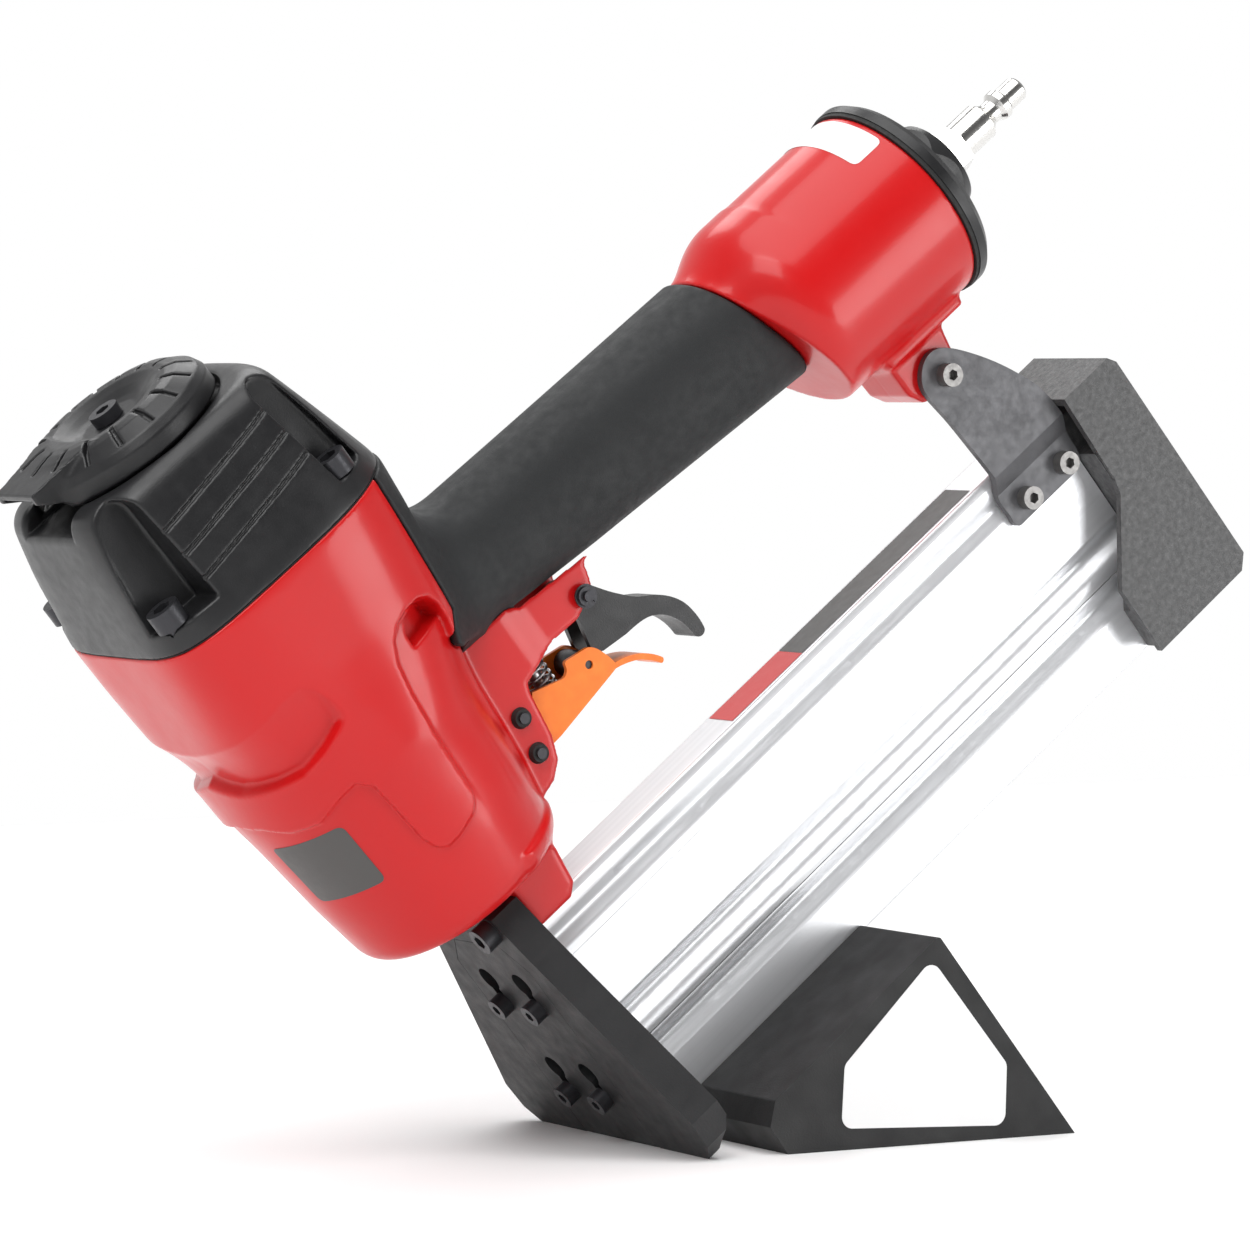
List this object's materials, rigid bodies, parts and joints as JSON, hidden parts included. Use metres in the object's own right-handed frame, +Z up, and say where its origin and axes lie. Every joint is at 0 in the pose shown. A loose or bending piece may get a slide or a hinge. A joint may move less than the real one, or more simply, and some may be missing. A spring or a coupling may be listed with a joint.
{
  "type": "flooring nailer",
  "caption": "Pneumatic flooring nailer with a red cast body and rear air chamber, black head cap, rubber handle, inclined slide-open magazine, angled foot and flared striking shoe.",
  "frame": {"origin": "centre of the foot's sole, on the floor the tool stands on", "axes": "+Z up from the floor, +X from the nose towards the tail of the magazine, +Y to the tool's far side"},
  "size_m": [0.4026, 0.112, 0.3139],
  "materials": {
    "red_casting": "gloss red enamel over a casting",
    "black_shoe": "satin black",
    "dark_casting": "wrinkle dark grey",
    "cap_casting": "satin black over a casting",
    "dark_end_cap": "satin dark grey",
    "bright_extrusion": "brushed",
    "dark_foot": "satin dark grey",
    "steel_dark": "dark phosphated",
    "steel_bright": "bright plated",
    "steel_plain": "ground",
    "grip_rubber": "matt",
    "gasket_rubber": "matt",
    "bumper_rubber": "matt",
    "valve_plastic": "moulded",
    "deflector_plastic": "moulded",
    "trigger_orange": "satin orange",
    "label_vinyl": "satin vinyl",
    "brass_seal": "plain"
  },
  "bodies": {
    "tool": {"nose_shoe": "black_shoe", "nose_plate": "black_shoe", "nose_screws": "steel_dark", "shoe_screws": "steel_dark", "housing": "red_casting", "grip_sleeve": "grip_rubber", "cylinder_cap": "cap_casting", "cap_gasket": "gasket_rubber", "cap_screws": "steel_dark", "deflector_screw": "steel_dark", "cylinder_sleeve": "bright_extrusion", "bumper": "bumper_rubber", "head_valve_spring": "steel_plain", "end_cap_gasket": "gasket_rubber", "end_cap": "dark_end_cap", "inlet_seal": "brass_seal", "air_plug": "steel_bright", "trigger_bracket": "red_casting", "trigger_pin": "steel_plain", "bracket_pin": "steel_plain", "pin_collars": "gasket_rubber", "interlock_pin": "steel_plain", "retaining_clips": "steel_dark", "valve_body": "valve_plastic", "trigger_spring": "steel_plain", "magazine_rail": "bright_extrusion", "rear_bracket": "steel_dark", "bracket_bolts": "steel_dark", "foot_bar": "steel_plain"},
    "deflector": {"exhaust_deflector": "deflector_plastic"},
    "driver": {"piston": "bright_extrusion", "piston_ring": "gasket_rubber", "driver_blade": "steel_plain"},
    "head_valve_ring": {"head_valve": "valve_plastic"},
    "trigger_arm": {"trigger": "trigger_orange", "roller_pin": "steel_plain"},
    "roller": {"trigger_roller": "steel_plain"},
    "interlock": {"interlock_lever": "black_shoe"},
    "stem": {"valve_stem": "steel_plain"},
    "magazine": {"magazine_track": "bright_extrusion", "tail_casting": "dark_casting"},
    "pusher": {"nail_pusher": "steel_plain", "pusher_spring": "steel_plain"},
    "foot_block": {"foot": "dark_foot", "foot_label": "label_vinyl"}
  },
  "joints": [
    {"name": "deflector_turn", "type": "hinge", "parent": "tool", "child": "deflector", "pos_m": [-0.23457, 0, 0.20669], "axis": [-0.6293, 0, 0.7771], "continuous": true},
    {"name": "driver_slide", "type": "slide", "parent": "tool", "child": "driver", "axis": [0.6293, 0, -0.7771], "range_m": [0, 0.076]},
    {"name": "head_valve_slide", "type": "slide", "parent": "tool", "child": "head_valve_ring", "axis": [-0.6293, 0, 0.7771], "range_m": [0, 0.005], "stiffness_N_per_m": 400, "springref_m": -0.004, "deforming": ["head_valve_spring"]},
    {"name": "trigger_pull", "type": "hinge", "parent": "tool", "child": "trigger_arm", "pos_m": [-0.10999, 0, 0.11546], "axis": [0, -1, 0], "range_deg": [0, 4.5], "stiffness_Nm_per_rad": 1.2, "springref_deg": -6.88, "deforming": ["trigger_spring"]},
    {"name": "roller_turn", "type": "hinge", "parent": "trigger_arm", "child": "roller", "pos_m": [-0.0904, 0, 0.14021], "axis": [0, 1, 0], "continuous": true},
    {"name": "valve_slide", "type": "slide", "parent": "tool", "child": "stem", "axis": [-0.6293, 0, 0.7771], "range_m": [0, 0.0016]},
    {"name": "interlock_pull", "type": "hinge", "parent": "tool", "child": "interlock", "pos_m": [-0.09447, 0, 0.16033], "axis": [0, -1, 0], "range_deg": [0, 15], "stiffness_Nm_per_rad": 0.3, "springref_deg": -11.46},
    {"name": "magazine_slide", "type": "slide", "parent": "tool", "child": "magazine", "axis": [0.7771, 0, 0.6293], "range_m": [0, 0.15]},
    {"name": "pusher_slide", "type": "slide", "parent": "magazine", "child": "pusher", "axis": [0.7771, 0, 0.6293], "range_m": [0, 0.17], "stiffness_N_per_m": 12, "springref_m": -0.3},
    {"name": "foot_slide", "type": "slide", "parent": "tool", "child": "foot_block", "axis": [0.7771, 0, 0.6293], "range_m": [0, 0.012]}
  ],
  "couplings": [
    {"joint": "valve_slide", "follows": "trigger_pull", "m_per_rad": 0.0181}
  ]
}
